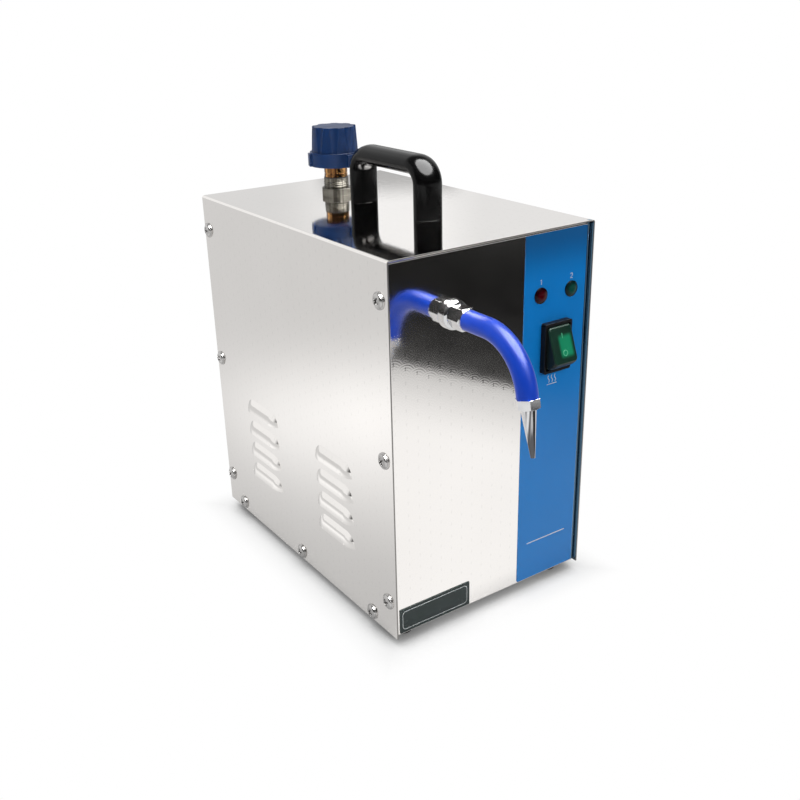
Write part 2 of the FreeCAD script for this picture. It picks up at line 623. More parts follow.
def make_handle():
    handle = new_body("handle", "0", "handle_setback", "cover_height")
    level = "(handle_height - handle_thickness / 2)"
    half = "(handle_pitch / 2)"
    spine = path(sketch_on(handle, "YZ"), [
        ("-" + half, "0"), ("-" + half, level + " - handle_bend", "-handle_bend"),
        ("handle_bend - " + half, level), (half + " - handle_bend", level, "-handle_bend"),
        (half, level + " - handle_bend"), (half, "0")], closed=False)
    section = sketch_on(handle, "XY")
    middle = -value(half)
    oval = section.addGeometry(Part.Ellipse(
        Vector(value("handle_width / 2"), middle, 0),
        Vector(0, middle + value("handle_thickness / 2"), 0), Vector(0, middle, 0)), False)
    section.exposeInternalGeometry(oval)
    tie(section, "DistanceX", oval, 3, "0")
    tie(section, "DistanceY", oval, 3, "-" + half)
    section.addConstraint(Sketcher.Constraint("Horizontal", oval + 1))
    for line, formula in ((oval + 1, "handle_width"), (oval + 2, "handle_thickness")):
        number = section.addConstraint(Sketcher.Constraint("Distance", line, value(formula)))
        section.setExpression("Constraints[%d]" % number, bound(formula))
    sweep(handle, section, spine)
    bores = sketch_on(handle, "XY")
    for y in ("-" + half, half):
        circle(bores, "0", y, "handle_screw_radius + sliding_clearance")
    pocket(handle, bores, "handle_bore_depth", back=True)
    screw = screw_form("handle_screw_form", "handle_screw_radius", "handle_screw_head",
                       "handle_screw_head_height", "handle_screw_length")
    group("handle_screws", [(screw, "0", y, "cover_height - sheet_gauge",
                             Rotation(Vector(1, 0, 0), 180)) for y in HANDLE_LEGS])


def make_front_skins():
    """The coloured control film and the name plate's place, on the front panel's face."""
    film = new_body("panel_overlay")
    low, high = "tray_bend", TRAY_TOP + " - tray_bend"
    right = "control_middle + film_right"
    outline = box_path(sketch_on(film, "XZ", "-" + FILM), "control_middle - film_left", low,
                       right, high)
    for side in ("-", "+"):
        circle(outline, "control_middle %s lamp_pitch / 2" % side, "lamp_height",
               "lamp_barrel + hole_clearance")
    middle_box(outline, "control_middle", "switch_height",
               "(switch_body_width + 2 * hole_clearance)",
               "(switch_body_tall + 2 * hole_clearance)")
    pad(film, outline, "film_thickness", back=True)
    upward = Vector(0, 1, 0)
    round_edges(film, "film_corner", lambda edge: along(edge, upward)
                and (at_height(edge, low) or at_height(edge, high)))
    plate = new_body("name_plate")
    back = "(panel_recess - plate_thickness)"
    outline = box_path(sketch_on(plate, "XZ", "-" + back), "-plate_inset", low,
                       "plate_width - plate_inset", low + " + plate_height")
    pad(plate, outline, "plate_thickness", back=True)
    round_edges(plate, "plate_corner", lambda edge: along(edge, upward))


# ---------------------------------------------------------------- lamps and switch

def make_lamps():
    for name, side in (("ready_lamp", "-"), ("heating_lamp", "+")):
        turned(name, [
            ("0", "-lamp_depth"), ("lamp_barrel", "-lamp_depth"), ("lamp_barrel", "0"),
            ("lamp_radius", "0"),
            ("lamp_radius", "lamp_rim", "(pow(lamp_radius; 2) + pow(lamp_dome - lamp_rim; 2))"
                                        " / (2 * (lamp_dome - lamp_rim))"),
            ("0", "lamp_dome")],
            "control_middle %s lamp_pitch / 2" % side, FILM, "lamp_height", TO_FRONT)


def make_switch():
    """A snap-in rocker switch; the rocker turns on two trunnions inside the housing."""
    x, y, z = "control_middle", FILM, "switch_height"
    housing = new_body("switch_housing", x, y, z)
    frame = middle_box(sketch_on(housing, "XZ"), "0", "0", "switch_width", "switch_tall")
    pad(housing, frame, "switch_proud")
    case = middle_box(sketch_on(housing, "XZ"), "0", "0", "switch_body_width", "switch_body_tall")
    pad(housing, case, "switch_depth", back=True)
    lengthwise = Vector(0, 1, 0)
    round_edges(housing, "film_corner", lambda edge: along(edge, lengthwise))
    opening = middle_box(sketch_on(housing, "XZ", "switch_proud"), "0", "0",
                         "(rocker_width + 2 * rocker_clearance)",
                         "(2 * (%s + rocker_clearance))" % ROCKER_RADIUS)
    pocket(housing, opening, "switch_proud - rocker_axis_proud + rocker_skirt + rocker_hollow")
    pivots = circle(sketch_on(housing, "YZ"), "-rocker_axis_proud", "0",
                    "trunnion_radius + running_clearance")
    pocket(housing, pivots, "rocker_width + 2 * trunnion_length + 0.2", both=True)
    blades = sketch_on(housing, "XZ", "-switch_depth")
    for step in (-1, 0, 1):
        middle_box(blades, "0", "%d * blade_pitch" % step, "blade_width", "blade_gauge")
    pad(housing, blades, "blade_length", back=True)

    rocker = new_body("rocker", x, y + " - rocker_axis_proud", z,
                      Rotation(Vector(1, 0, 0), -SIZES["rocker_tilt"]))
    half = "(rocker_face / 2)"
    waist = ROCKER_RADIUS
    profile = path(sketch_on(rocker, "YZ"), [
        ("-rocker_reach", "-" + half, waist), ("0", "-" + waist), ("rocker_skirt", "-rocker_waist"),
        ("rocker_skirt", "rocker_waist"), ("0", waist, waist), ("-rocker_reach", half)])
    pad(rocker, profile, "rocker_width", both=True)
    round_edges(rocker, "rocker_corner", lambda edge: isinstance(edge.Curve, Part.Circle)
                and edge.Length > 5)
    round_edges(rocker, "rocker_round", lambda edge: at_height(edge, "-rocker_reach", "y"))
    pins = circle(sketch_on(rocker, "YZ"), "0", "0", "trunnion_radius")
    pad(rocker, pins, "rocker_width + 2 * trunnion_length", both=True)


# ---------------------------------------------------------------- filler and cap

def make_filler():
    shoulder_top = "(cover_height - sheet_gauge)"
    turned("filler_neck", [
        ("neck_bore", CROWN + " - neck_insertion"), ("neck_radius", CROWN + " - neck_insertion"),
        ("neck_radius", CROWN),
        ("neck_shoulder_radius", CROWN), ("neck_shoulder_radius", CROWN + " + neck_shoulder_height"),
        ("neck_radius", CROWN + " + neck_shoulder_height"),
        ("neck_radius", shoulder_top + " - neck_shoulder_height"),
        ("neck_shoulder_radius", shoulder_top + " - neck_shoulder_height"),
        ("neck_shoulder_radius", shoulder_top), ("neck_radius", shoulder_top),
        ("neck_radius", NECK_TOP), ("neck_bore", NECK_TOP)], "0", "filler_setback", "0")
    nut = new_body("filler_locknut", "0", "filler_setback", "cover_height")
    add_nut(nut, "locknut_flats", "locknut_height", "neck_radius + sliding_clearance")


def make_cap():
    base = ("0", "filler_setback", NECK_TOP)
    turned("cap_seal", tube_profile("neck_bore + 0.2", "seal_radius", "0", "seal_height"), *base)
    shank = "(neck_bore - running_clearance)"
    top = "(seal_height + brass_height)"
    groove_low, groove = "seal_height + groove_rise", "brass_radius - groove_depth"
    turned("cap_insert", [
        ("insert_bore", "-insert_drop"), (shank, "-insert_drop"), (shank, "seal_height"),
        ("brass_radius", "seal_height"), ("brass_radius", groove_low), (groove, groove_low),
        (groove, groove_low + " + groove_width"), ("brass_radius", groove_low + " + groove_width"),
        ("brass_radius", top), ("insert_stem_radius", top),
        ("insert_stem_radius", top + " + insert_stem_height"),
        ("chamber_radius", top + " + insert_stem_height"),
        ("chamber_radius", top + " + chamber_floor"), ("insert_bore", top + " + chamber_floor")],
        *base)
    floor = top + " + chamber_floor"
    turned("relief_plug", [
        ("0", floor + " - plug_nose_drop"), ("plug_nose_radius - 0.6", floor + " - plug_nose_drop"),
        ("plug_nose_radius", floor), ("plug_radius", floor), ("plug_radius", floor + " + plug_height"),
        ("plug_stem_radius", floor + " + plug_height"),
        ("plug_stem_radius", floor + " + plug_height + plug_stem_height"),
        ("0", floor + " + plug_height + plug_stem_height")], *base)
    spring("relief_spring", "cap_spring_radius", "cap_spring_turns",
           floor + " + plug_height", top + " + insert_stem_height", base)

    knob = new_body("cap_knob", "0", "filler_setback", CAP_BASE,
                    Rotation(Vector(0, 0, 1), SIZES["cap_lug_turn"]))
    revolve(knob, [
        ("insert_stem_radius + sliding_clearance", "0"), ("cap_flange_radius", "0"),
        ("cap_flange_radius", "cap_flange_height"), ("cap_base_radius", "cap_flange_height"),
        ("cap_top_radius", "cap_height"), ("0", "cap_height"), ("0", "insert_stem_height"),
        ("insert_stem_radius + sliding_clearance", "insert_stem_height")])
    lug = sketch_on(knob, "XY")
    box_path(lug, "cap_flange_radius - cap_lug_root", "-cap_lug_width / 2",
             "cap_flange_radius + cap_lug_reach", "cap_lug_width / 2")
    first_lug = pad(knob, lug, "cap_flange_height - cap_lug_drop")
    pattern(knob, [first_lug], lug, "cap_lugs")
    flute = circle(sketch_on(knob, "XY", "cap_height"),
                   "cap_top_radius - flute_depth + flute_radius", "0", "flute_radius")
    first_flute = pocket(knob, flute, "cap_height - cap_flange_height")
    first_flute.setExpression("TaperAngle", bound("-flute_taper"))
    doc.recompute()
    pattern(knob, [first_flute], flute, "flute_count")


def spring(label, radius, turns, low, high, base):
    """A coil of square wire between two faces, clear of each by the contact gap."""
    body = new_body(label, base[0], base[1], "%s + %s" % (base[2], low))
    wire = box_path(sketch_on(body, "XZ"), radius + " - spring_wire / 2", "contact_gap",
                    radius + " + spring_wire / 2", "contact_gap + spring_wire")
    coil = body.newObject("PartDesign::AdditiveHelix", label + "_coil")
    coil.Profile = wire
    coil.ReferenceAxis = (wire, ["V_Axis"])
    coil.Mode = "height-turns-angle"
    coil.setExpression("Height", bound("%s - (%s) - 2 * contact_gap - spring_wire" % (high, low)))
    coil.setExpression("Turns", bound(turns))
    doc.recompute()


# ---------------------------------------------------------------- boiler

DISH = "((pow(tank_radius; 2) + pow(tank_dish; 2)) / (2 * tank_dish))"


def dish_rise(radius, wall="0"):
    """How far a dished end stands beyond the shell's edge, at a radius."""
    return "(tank_dish - %s + sqrt(pow(%s - %s; 2) - pow(%s; 2)))" % (DISH, DISH, wall, radius)


def make_boiler():
    tank = new_body("boiler_tank", "0", "filler_setback", "0")
    mouth, inner = "neck_radius + sliding_clearance", "(tank_radius - tank_wall)"
    inner_dish = "tank_wall - " + DISH
    revolve(tank, [
        ("heater_hole", TANK_BASE), ("tank_base_flat", TANK_BASE),
        ("tank_base_flat", "tank_bottom - " + dish_rise("tank_base_flat"), DISH),
        ("tank_radius", "tank_bottom"), ("tank_radius", TANK_TOP, DISH),
        ("tank_crown_flat", TANK_TOP + " + " + dish_rise("tank_crown_flat")),
        ("tank_crown_flat", CROWN), (mouth, CROWN),
        (mouth, TANK_TOP + " + " + dish_rise(mouth, "tank_wall"), inner_dish),
        (inner, TANK_TOP + " + " + dish_rise(inner, "tank_wall")),
        (inner, "tank_bottom - " + dish_rise(inner, "tank_wall"), inner_dish),
        ("heater_hole", "tank_bottom - " + dish_rise("heater_hole", "tank_wall"))])
    crown = sketch_on(tank, "XY", SOCKET_TOP)
    circle(crown, "-spout_offset", "0", "socket_radius")
    circle(crown, "socket_reach", "0", "socket_radius")
    circle(crown, "0", "-pad_reach", "socket_radius")
    pad(tank, crown, "socket_length", back=True)
    base = circle(sketch_on(tank, "XY", TANK_BASE + " - socket_rise"), "-drain_side", "drain_back",
                  "socket_radius")
    pad(tank, base, "socket_length")
    bores = sketch_on(tank, "XY", SOCKET_TOP)
    circle(bores, "-spout_offset", "0", "pipe_radius + sliding_clearance")
    circle(bores, "socket_reach", "0", "gauge_stub_radius + sliding_clearance")
    pocket(tank, bores, "socket_length + 6")
    drain = circle(sketch_on(tank, "XY", TANK_BASE + " - socket_rise"), "-drain_side", "drain_back",
                   "drain_pipe_radius + sliding_clearance")
    pocket(tank, drain, "socket_length + 6", back=True)

    inner, outer = "(tank_radius + fit_gap)", "(tank_radius + fit_gap + jacket_thickness)"
    turned("tank_jacket", tube_profile(inner, outer, "jacket_low", "jacket_low + jacket_height"),
           "0", "filler_setback", "0")
    bands = []
    for name, height in (("low_band", "jacket_low + band_inset"),
                         ("high_band", "jacket_low + jacket_height - band_inset - band_width")):
        band = new_body(name)
        revolve(band, tube_profile(outer, outer + " + band_gauge", "0", "band_width"))
        ears = sketch_on(band, "XY")
        for side in ("-", ""):
            middle_box(ears, "%s3 * band_gauge" % side, "-(%s + band_ear / 2)" % outer, "band_gauge",
                       "band_ear")
        pad(band, ears, "band_width")
        bands.append((band, "0", "filler_setback", height, UPRIGHT))
    group("jacket_bands", bands)


def make_stand():
    stand = new_body("tank_stand", "0", "filler_setback", "0")
    seat = "(tank_bottom - %s - contact_gap)" % dish_rise("stand_seat")
    inner, outer = "(tank_radius + 2 * contact_gap)", "(tank_radius + 2 * contact_gap + stand_gauge)"
    revolve(stand, [
        ("stand_seat", seat + " - stand_gauge"), (outer, seat + " - stand_gauge"),
        (outer, "jacket_low - 1"), (inner, "jacket_low - 1"), (inner, seat), ("stand_seat", seat)])
    leg = sketch_on(stand, "XY", "sheet_gauge")
    middle_box(leg, "stand_seat + stand_gauge", "0", "stand_gauge", "leg_width")
    upright = pad(stand, leg, seat + " - stand_gauge - sheet_gauge")
    tab = sketch_on(stand, "XY", "sheet_gauge")
    box_path(tab, "stand_seat - leg_tab", "-leg_width / 2", "stand_seat + stand_gauge / 2",
             "leg_width / 2")
    foot = pad(stand, tab, "stand_gauge")
    hole = circle(sketch_on(stand, "XY", "sheet_gauge"), LEG_SCREW, "0",
                  "foot_screw_radius + hole_clearance")
    drilled = pocket(stand, hole, "stand_gauge", back=True)
    pattern(stand, [upright, foot, drilled], leg, "leg_count")
    stand.Placement.Rotation = Rotation(Vector(0, 0, 1), 90)


def make_heater():
    place_at = ("0", "filler_setback", TANK_BASE)
    turned("heater_gasket", tube_profile("heater_hole + 0.2", "gasket_radius", "-gasket_height",
                                         "0"), *place_at)
    plug = new_body("heater_plug", *place_at)
    low = "-(gasket_height + heater_plug_height)"
    hexagonal = hexagon(sketch_on(plug, "XY", low), "heater_flats")
    pad(plug, hexagonal, "heater_plug_height")
    spigot = circle(sketch_on(plug, "XY", "-gasket_height"), "0", "0",
                    "heater_hole - sliding_clearance")
    pad(plug, spigot, "gasket_height + heater_spigot")
    holes = sketch_on(plug, "XY", low)
    for side in ("-", ""):
        circle(holes, side + "element_pitch / 2", "0", "element_radius + sliding_clearance")
    pocket(plug, holes, back=True)

    element = new_body("heater_element", *place_at)
    half = "(element_pitch / 2)"
    foot = low + " - element_tail"
    bend = "element_height - element_pitch / 2"
    spine = path(sketch_on(element, "XZ"), [
        ("-" + half, foot), ("-" + half, bend, "-" + half), ("0", "element_height", "-" + half),
        (half, bend), (half, foot)], closed=False)
    ring = circle(sketch_on(element, "XY", foot), "-" + half, "0", "element_radius")
    sweep(element, ring, spine)


def make_crown_fittings():
    turned("thermal_cutout", [
        ("0", "0"), ("cutout_radius", "0"), ("cutout_radius", "cutout_height"),
        ("cutout_cap_radius", "cutout_height"),
        ("cutout_cap_radius", "cutout_height + cutout_cap_height"),
        ("0", "cutout_height + cutout_cap_height")],
        "0", "filler_setback - pad_reach", SOCKET_TOP)
    turned("pressure_switch", [
        ("0", "-pipe_insertion"), ("gauge_stub_radius", "-pipe_insertion"),
        ("gauge_stub_radius", "gauge_stub_height"), ("gauge_body_radius", "gauge_stub_height"),
        ("gauge_body_radius", "gauge_stub_height + gauge_body_height"),
        ("gauge_stub_radius", "gauge_stub_height + gauge_body_height + 3"),
        ("0", "gauge_stub_height + gauge_body_height + 3")],
        "socket_reach", "filler_setback", SOCKET_TOP)


# ---------------------------------------------------------------- steam way

def make_steam_pipes():
    steam = new_body("steam_pipe", "-spout_offset", "0", "0")
    start, top, drop = "filler_setback", "steam_run_height", "steam_drop_setback"
    inlet = "valve_inlet_height"
    end = "valve_setback + valve_length / 2 - pipe_insertion"
    low = SOCKET_TOP + " - pipe_insertion"
    spine = path(sketch_on(steam, "YZ"), [
        (start, low), (start, top + " - pipe_bend", "pipe_bend"),
        (start + " - pipe_bend", top), (drop + " + pipe_bend", top, "pipe_bend"),
        (drop, top + " - pipe_bend"), (drop, inlet + " + pipe_bend", "-pipe_bend"),
        (drop + " - pipe_bend", inlet), (end, inlet)], closed=False)
    ring = circle(sketch_on(steam, "XY", low), "0", start, "pipe_radius")
    circle(ring, "0", start, "pipe_bore")
    sweep(steam, ring, spine)

    outlet = new_body("outlet_pipe", "-spout_offset", "0", "0")
    riser, low, high = "riser_setback", "valve_outlet_height", "spout_height"
    begin = "valve_setback - valve_length / 2 + pipe_insertion"
    finish = PANEL + " + bulkhead_depth - pipe_insertion"
    spine = path(sketch_on(outlet, "YZ"), [
        (begin, low), (riser + " + pipe_bend", low, "-pipe_bend"),
        (riser, low + " + pipe_bend"), (riser, high + " - pipe_bend", "pipe_bend"),
        (riser + " - pipe_bend", high), (finish, high)], closed=False)
    ring = circle(sketch_on(outlet, "XZ", "-(%s)" % begin), "0", low, "pipe_radius")
    circle(ring, "0", low, "pipe_bore")
    sweep(outlet, ring, spine)


def make_valve():
    """A solenoid valve: block, guide tube, coil, plunger and return spring."""
    place_at = ("-spout_offset", "valve_setback", "0")
    block = new_body("valve_block", *place_at)
    middle_box(plan := sketch_on(block, "XY", "valve_low"), "0", "0", "valve_width", "valve_length")
    pad(block, plan, "valve_high - valve_low")
    seat = "(valve_inlet_height - pipe_radius)"
    bore = "(core_radius - core_wall)"
    chamber = circle(sketch_on(block, "XY", "valve_high"), "0", "0", bore)
    pocket(block, chamber, "valve_high - " + seat)
    orifice = circle(sketch_on(block, "XY", "valve_high"), "0", "0", "valve_orifice")
    pocket(block, orifice, "valve_high - valve_outlet_height")
    for height, face, back in (("valve_inlet_height", "-valve_length / 2", False),
                               ("valve_outlet_height", "valve_length / 2", True)):
        port = circle(sketch_on(block, "XZ", face), "0", height, "pipe_radius + sliding_clearance")
        pocket(block, port, "pipe_insertion", back=not back)
        way = circle(sketch_on(block, "XZ", face), "0", height, "pipe_bore")
        pocket(block, way, "valve_length / 2", back=not back)

    top = "(valve_high + core_height)"
    turned("valve_guide", [
        (bore, "valve_high"), ("core_radius + 2", "valve_high"),
        ("core_radius + 2", "valve_high + 2"), ("core_radius", "valve_high + 2"),
        ("core_radius", top), ("0", top), ("0", top + " - 2"), (bore, top + " - 2")], *place_at)
    coil = new_body("valve_coil", *place_at)
    middle_box(plan := sketch_on(coil, "XY", "valve_high + 2"), "0", "0", "coil_width",
               "coil_width")
    circle(plan, "0", "0", "core_radius + sliding_clearance")
    pad(coil, plan, "coil_height")
    round_edges(coil, "pipe_radius", lambda edge: along(edge, Vector(0, 0, 1)))
    nut = new_body("coil_nut", place_at[0], place_at[1], "valve_high + 2 + coil_height")
    add_nut(nut, "bulkhead_nut_flats", "core_height - coil_height - 3",
            "core_radius + sliding_clearance")
    plunger_top = seat + " + plunger_height"
    turned("valve_plunger", [
        ("0", seat), (bore + " - running_clearance", seat),
        (bore + " - running_clearance", plunger_top), ("0", plunger_top)], *place_at)
    spring("valve_spring", "valve_spring_radius", "valve_spring_turns", plunger_top, top + " - 2",
           place_at)


def make_spout():
    place_at = ("-spout_offset", PANEL, "spout_height")
    length = "(spout_run - ferrule_height - spout_nut_height - collar_height)"
    fitting = turned("bulkhead_fitting", [
        ("pipe_bore", "-bulkhead_depth + pipe_insertion"),
        ("pipe_radius + sliding_clearance", "-bulkhead_depth + pipe_insertion"),
        ("pipe_radius + sliding_clearance", "-bulkhead_depth"),
        ("bulkhead_radius", "-bulkhead_depth"), ("bulkhead_radius", "0"), ("collar_radius", "0"),
        ("collar_radius", "collar_height"), ("bulkhead_radius", "collar_height"),
        ("bulkhead_radius", "collar_height + spout_nut_height / 2"),
        ("pipe_radius + sliding_clearance", "collar_height + spout_nut_height / 2"),
        ("pipe_radius + sliding_clearance", "collar_height - 2"), ("pipe_bore", "collar_height - 2")],
        *place_at, TO_FRONT)
    round_edges(fitting, "collar_round", lambda edge: isinstance(edge.Curve, Part.Circle)
                and abs(edge.Curve.Radius - value("collar_radius")) < 1e-4
                and at_height(edge, "collar_height"))
    inner_nut = new_body("bulkhead_nut", "-spout_offset", PANEL_BACK, "spout_height", TO_REAR)
    add_nut(inner_nut, "bulkhead_nut_flats", "bulkhead_nut_height",
            "bulkhead_radius + sliding_clearance")

    nut = new_body("spout_nut", *place_at, TO_FRONT)
    add_nut(nut, "spout_nut_flats", "spout_nut_height", "pipe_radius + sliding_clearance",
            "collar_height")
    recess = circle(sketch_on(nut, "XY", "collar_height"), "0", "0",
                    "bulkhead_radius + sliding_clearance")
    pocket(nut, recess, "spout_nut_height / 2", back=True)
    turned("sleeve_ferrule", tube_profile(
        "pipe_radius + sliding_clearance", "ferrule_radius", "collar_height + spout_nut_height",
        "collar_height + spout_nut_height + ferrule_height"), *place_at, TO_FRONT)

    start = "(collar_height + spout_nut_height + ferrule_height)"
    spout_tube("spout_pipe", "collar_height - 2", "pipe_radius", "pipe_bore",
               "spout_tail + nozzle_nut_height / 2")
    spout_tube("spout_sleeve", start, "sleeve_radius", "pipe_radius + sliding_clearance",
               "spout_tail")

    end = ("-spout_offset",
           "panel_recess - spout_run - spout_bend * sin(spout_angle) - spout_tail * cos(spout_angle)",
           "spout_height - spout_bend * (1 - cos(spout_angle)) - spout_tail * sin(spout_angle)")
    pointing = Rotation(Vector(1, 0, 0), 180 + SIZES["spout_angle"] - 90)
    half = "(nozzle_nut_height / 2)"
    nut = new_body("nozzle_nut", *end, pointing)
    add_nut(nut, "nozzle_nut_flats", "nozzle_nut_height", "pipe_radius + sliding_clearance")
    recess = circle(sketch_on(nut, "XY", half), "0", "0", "nozzle_shank + sliding_clearance")
    pocket(nut, recess, half, back=True)
    turned("nozzle_tip", [
        ("pipe_bore", half), ("nozzle_shank", half), ("nozzle_shank", "nozzle_nut_height"),
        ("nozzle_radius", "nozzle_nut_height"),
        ("nozzle_tip_radius", "nozzle_nut_height + nozzle_length"),
        ("nozzle_bore", "nozzle_nut_height + nozzle_length"),
        ("nozzle_bore", "nozzle_nut_height + 4")], *end, pointing)
    for name in ("nozzle_nut", "nozzle_tip"):
        doc.getObject(name).setExpression("Placement.Rotation.Angle", bound("90 + spout_angle"))


def spout_tube(label, start, outer, inner, tail):
    """A bent tube on the spout's line: straight out, round the bend, and a short tail."""
    tube = new_body(label, "-spout_offset", PANEL, "spout_height")
    sine, cosine = "sin(spout_angle)", "cos(spout_angle)"
    bend_y = "-spout_run - spout_bend * " + sine
    bend_z = "-spout_bend * (1 - %s)" % cosine
    spine = path(sketch_on(tube, "YZ"), [
        ("-(%s)" % start, "0"), ("-spout_run", "0", "spout_bend"), (bend_y, bend_z),
        ("%s - (%s) * %s" % (bend_y, tail, cosine), "%s - (%s) * %s" % (bend_z, tail, sine))],
        closed=False)
    ring = circle(sketch_on(tube, "XZ", start), "0", "0", outer)
    circle(ring, "0", "0", inner)
    sweep(tube, ring, spine)


# ---------------------------------------------------------------- drain

def make_drain():
    x, z = "-drain_side", "drain_height"
    pipe = new_body("drain_pipe", x, "0", "0")
    start, entry = "filler_setback + drain_back", TANK_BASE + " - socket_rise + pipe_insertion"
    end = REAR + " - 4"
    spine = path(sketch_on(pipe, "YZ"), [
        (start, entry), (start, z + " + pipe_bend", "pipe_bend"),
        (start + " + pipe_bend", z), (end, z)], closed=False)
    ring = circle(sketch_on(pipe, "XY", entry), "0", start, "drain_pipe_radius")
    circle(ring, "0", start, "drain_bore")
    sweep(pipe, ring, spine)

    valve = new_body("drain_valve", x, REAR, z, TO_REAR)
    flange, body_end = "drain_flange_height", "(drain_flange_height + drain_body_length)"
    tip = body_end + " + drain_barb_length"
    socket = "drain_pipe_radius + sliding_clearance"
    revolve(valve, [
        ("drain_bore", "-4"), (socket, "-4"), (socket, "-drain_shank_length"),
        ("drain_shank_radius", "-drain_shank_length"), ("drain_shank_radius", "0"),
        ("drain_flange_radius", "0"), ("drain_flange_radius", flange),
        ("drain_body_radius", flange), ("drain_body_radius", body_end),
        ("drain_barb_radius", body_end), ("drain_barb_radius", tip), ("drain_bore", tip)])
    neck = circle(sketch_on(valve, "XZ", "0"), "0", BALL, "drain_neck_radius")
    pad(valve, neck, "drain_body_radius + drain_neck_height", back=False)
    neck_bore = circle(sketch_on(valve, "XZ", "drain_body_radius + drain_neck_height"), "0", BALL,
                       "drain_stem_radius + running_clearance")
    pocket(valve, neck_bore, "drain_body_radius + drain_neck_height")
    seat = "drain_ball_radius + running_clearance"
    hollow = path(sketch_on(valve, "XZ"), [
        ("0", BALL + " - (%s)" % seat, seat), (seat, BALL, seat), ("0", BALL + " + " + seat)])
    revolve(valve, None, sketch=hollow, kind="Groove")
    nut = new_body("drain_nut", x, REAR_INSIDE, z, TO_FRONT)
    add_nut(nut, "drain_nut_flats", "drain_nut_height", "drain_shank_radius + sliding_clearance")

    stem_top = "(drain_body_radius + drain_neck_height + lever_rise)"
    ball = new_body("drain_ball", x, "%s + %s" % (REAR, BALL), z)
    radius = "drain_ball_radius"
    revolve(ball, None, sketch=path(sketch_on(ball, "XZ"), [
        ("0", "-" + radius, radius), (radius, "0", radius), ("0", radius)]))
    stem = circle(sketch_on(ball, "XY"), "0", "0", "drain_stem_radius")
    pad(ball, stem, stem_top)
    way = circle(sketch_on(ball, "YZ"), "0", "0", "drain_bore")
    pocket(ball, way, both=True)

    lever = new_body("drain_lever", x, "%s + %s" % (REAR, BALL), "%s + %s" % (z, stem_top))
    plate = sketch_on(lever, "XY")
    half = "(lever_width / 2)"
    path(plate, [("0", "-" + half), ("lever_length", "-" + half, half),
                 ("lever_length + " + half, "0", half), ("lever_length", half), ("0", half)])
    pad(lever, plate, "lever_gauge")
    hub = circle(sketch_on(lever, "XY"), "0", "0", "lever_hub_radius")
    pad(lever, hub, "lever_gauge + 1.5")


# ---------------------------------------------------------------- rear services

def make_inlet():
    place_at = ("service_side", REAR, "inlet_height", TO_REAR)
    inlet = new_body("power_inlet", *place_at)
    flange = middle_box(sketch_on(inlet, "XY"), "0", "0", "inlet_flange_width", "inlet_flange_tall")
    pad(inlet, flange, "inlet_flange_height")
    round_edges(inlet, "inlet_corner * 1.5", lambda edge: along(edge, Vector(0, 0, 1)))
    case = middle_box(sketch_on(inlet, "XY"), "0", "0", "inlet_body_width", "inlet_body_tall")
    pad(inlet, case, "inlet_depth", back=True)
    half, low, high = "(inlet_mouth_width / 2)", "-inlet_mouth_tall / 2", "inlet_mouth_tall / 2"
    mouth = path(sketch_on(inlet, "XY", "inlet_flange_height"), [
        ("-" + half, low), (half, low), (half, high + " - inlet_corner"),
        (half + " - inlet_corner", high), ("inlet_corner - " + half, high),
        ("-" + half, high + " - inlet_corner")])
    pocket(inlet, mouth, "inlet_mouth_depth")
    holes = sketch_on(inlet, "XY", "inlet_flange_height")
    for side in ("-", ""):
        circle(holes, side + "inlet_screw_pitch / 2", "0", "inlet_screw_radius + hole_clearance")
    pocket(inlet, holes, "inlet_flange_height")


def make_fuse():
    place_at = ("service_side", REAR, "fuse_height", TO_REAR)
    rim = "fuse_rim_height"
    stub = "fuse_stub_radius + running_clearance"
    turned("fuse_holder", [
        ("0", "-fuse_depth"), ("fuse_radius", "-fuse_depth"), ("fuse_radius", "0"),
        ("fuse_rim_radius", "0"), ("fuse_rim_radius", rim), (stub, rim),
        (stub, rim + " - fuse_stub_length - 1"), ("0", rim + " - fuse_stub_length - 1")], *place_at)
    cap = turned("fuse_cap", [
        ("0", rim + " - fuse_stub_length"), ("fuse_stub_radius", rim + " - fuse_stub_length"),
        ("fuse_stub_radius", rim + " + fit_gap"), ("fuse_cap_radius", rim + " + fit_gap"),
        ("fuse_cap_radius - 0.6", rim + " + fuse_cap_height"), ("0", rim + " + fuse_cap_height")],
        *place_at)
    slot = middle_box(sketch_on(cap, "XY", rim + " + fuse_cap_height"), "0", "0",
                      "1.5 * fuse_cap_radius", "fuse_slot")
    pocket(cap, slot, "fuse_slot")


def make_pedal_socket():
    place_at = ("service_side", REAR, "socket_height", TO_REAR)
    top = "(socket_flange_height + socket_proud)"
    floor = top + " - socket_mouth_depth"
    turned("pedal_socket", [
        ("0", "-socket_depth"), ("socket_thread_radius", "-socket_depth"),
        ("socket_thread_radius", "0"), ("socket_flange_radius", "0"),
        ("socket_flange_radius", "socket_flange_height"),
        ("socket_thread_radius", "socket_flange_height"), ("socket_thread_radius", top),
        ("socket_mouth", top), ("socket_mouth", floor), ("0", floor)], *place_at)


